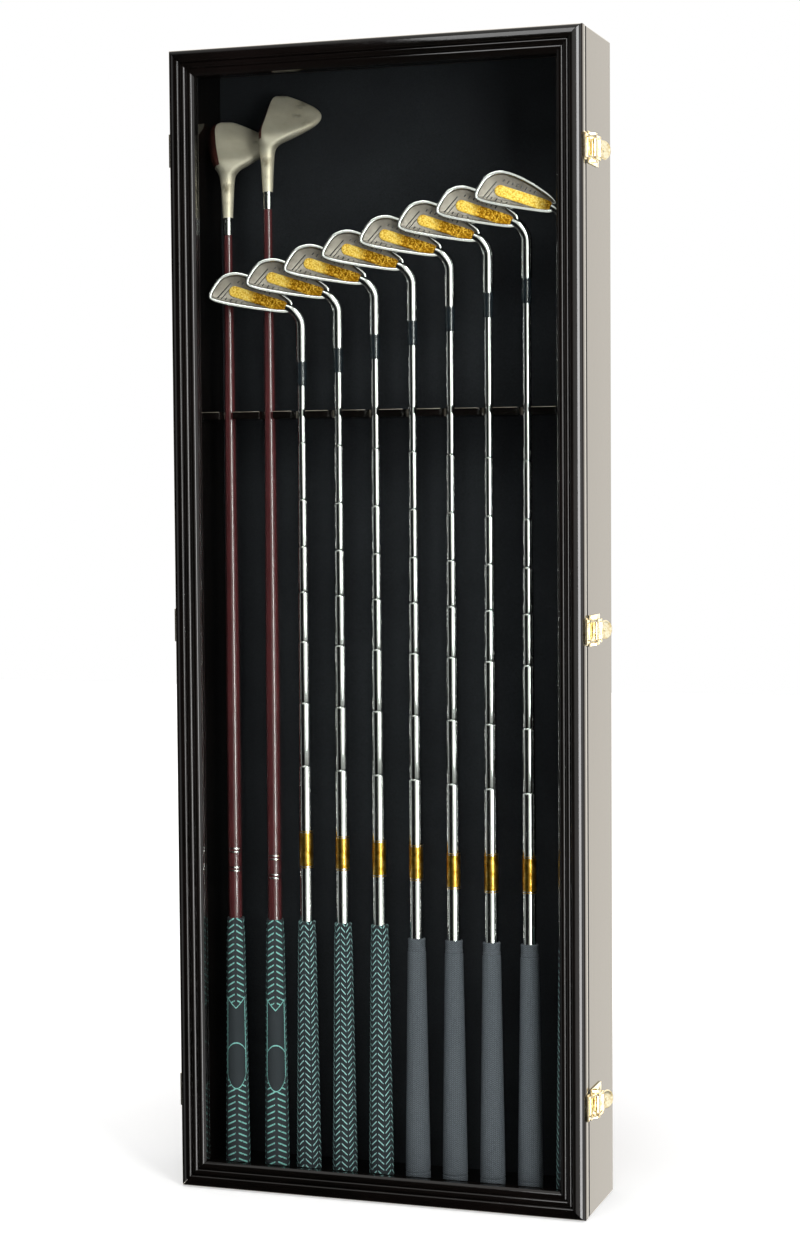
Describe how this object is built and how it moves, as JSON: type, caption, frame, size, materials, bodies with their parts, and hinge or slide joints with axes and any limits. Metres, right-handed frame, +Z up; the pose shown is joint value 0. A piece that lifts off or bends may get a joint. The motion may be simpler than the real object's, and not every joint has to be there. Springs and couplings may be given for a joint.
{
  "type": "golf club display case",
  "caption": "Wall-hung shallow display case with a hinged glazed door, toggle latches, felt back and a notched rail holding upright golf clubs.",
  "frame": {"origin": "centre of the back face, which lies against the wall", "axes": "+X to the viewer's right, -Y out of the wall towards the viewer, +Z up"},
  "size_m": [0.4546, 0.121, 1.181],
  "materials": {
    "black_lacquer": "gloss black lacquer",
    "navy_felt": "navy-black felt",
    "backing_board": "plain hardboard",
    "door_glass": "clear",
    "polished_brass": "polished",
    "chrome_steel": "polished",
    "satin_steel": "satin",
    "maroon_lacquer": "gloss maroon",
    "corded_rubber": "matt, corded",
    "grey_rubber": "matt"
  },
  "bodies": {
    "case": {"left_side": "black_lacquer", "right_side": "black_lacquer", "top_panel": "black_lacquer", "bottom_panel": "black_lacquer", "back_panel": "backing_board", "felt_board": "navy_felt", "club_rail": "black_lacquer", "lower_hinge_case_leaf": "polished_brass", "middle_hinge_case_leaf": "polished_brass", "upper_hinge_case_leaf": "polished_brass", "lower_latch_base": "polished_brass", "middle_latch_base": "polished_brass", "upper_latch_base": "polished_brass", "first_wood_head": "satin_steel", "first_wood_shaft": "maroon_lacquer", "first_wood_grip": "corded_rubber", "second_wood_head": "satin_steel", "second_wood_shaft": "maroon_lacquer", "second_wood_grip": "corded_rubber", "iron_1_head": "chrome_steel", "iron_1_shaft": "chrome_steel", "iron_1_grip": "corded_rubber", "iron_2_head": "chrome_steel", "iron_2_shaft": "chrome_steel", "iron_2_grip": "corded_rubber", "iron_3_head": "chrome_steel", "iron_3_shaft": "chrome_steel", "iron_3_grip": "corded_rubber", "iron_4_head": "chrome_steel", "iron_4_shaft": "chrome_steel", "iron_4_grip": "grey_rubber", "iron_5_head": "chrome_steel", "iron_5_shaft": "chrome_steel", "iron_5_grip": "grey_rubber", "iron_6_head": "chrome_steel", "iron_6_shaft": "chrome_steel", "iron_6_grip": "grey_rubber", "iron_7_head": "chrome_steel", "iron_7_shaft": "chrome_steel", "iron_7_grip": "grey_rubber", "iron_8_head": "chrome_steel", "iron_8_shaft": "chrome_steel", "iron_8_grip": "corded_rubber"},
    "door": {"door_left_stile": "black_lacquer", "door_right_stile": "black_lacquer", "door_top_rail": "black_lacquer", "door_bottom_rail": "black_lacquer", "glass": "door_glass", "lower_hinge_door_leaf": "polished_brass", "middle_hinge_door_leaf": "polished_brass", "upper_hinge_door_leaf": "polished_brass", "lower_latch_keeper": "polished_brass", "middle_latch_keeper": "polished_brass", "upper_latch_keeper": "polished_brass"},
    "lower_lever": {"lower_latch_lever": "polished_brass"},
    "lower_claw": {"lower_latch_claw": "polished_brass"},
    "middle_lever": {"middle_latch_lever": "polished_brass"},
    "middle_claw": {"middle_latch_claw": "polished_brass"},
    "upper_lever": {"upper_latch_lever": "polished_brass"},
    "upper_claw": {"upper_latch_claw": "polished_brass"}
  },
  "joints": [
    {"name": "door_hinge", "type": "hinge", "parent": "case", "child": "door", "pos_m": [-0.22061, -0.10151, 0], "axis": [0, 0, -1], "range_deg": [0, 170]},
    {"name": "lower_lever_turn", "type": "hinge", "parent": "case", "child": "lower_lever", "pos_m": [0.22371, -0.08801, -0.4777], "axis": [0, 0, -1], "range_deg": [0, 110]},
    {"name": "lower_claw_turn", "type": "hinge", "parent": "lower_lever", "child": "lower_claw", "pos_m": [0.22671, -0.07901, -0.4777], "axis": [0, 0, -1], "range_deg": [-110, 0]},
    {"name": "middle_lever_turn", "type": "hinge", "parent": "case", "child": "middle_lever", "pos_m": [0.22371, -0.08801, -0.0022], "axis": [0, 0, -1], "range_deg": [0, 110]},
    {"name": "middle_claw_turn", "type": "hinge", "parent": "middle_lever", "child": "middle_claw", "pos_m": [0.22671, -0.07901, -0.0022], "axis": [0, 0, -1], "range_deg": [-110, 0]},
    {"name": "upper_lever_turn", "type": "hinge", "parent": "case", "child": "upper_lever", "pos_m": [0.22371, -0.08801, 0.4733], "axis": [0, 0, -1], "range_deg": [0, 110]},
    {"name": "upper_claw_turn", "type": "hinge", "parent": "upper_lever", "child": "upper_claw", "pos_m": [0.22671, -0.07901, 0.4733], "axis": [0, 0, -1], "range_deg": [-110, 0]}
  ],
  "couplings": [
    {"joint": "lower_claw_turn", "follows": "lower_lever_turn", "ratio": -1},
    {"joint": "middle_claw_turn", "follows": "middle_lever_turn", "ratio": -1},
    {"joint": "upper_claw_turn", "follows": "upper_lever_turn", "ratio": -1}
  ]
}
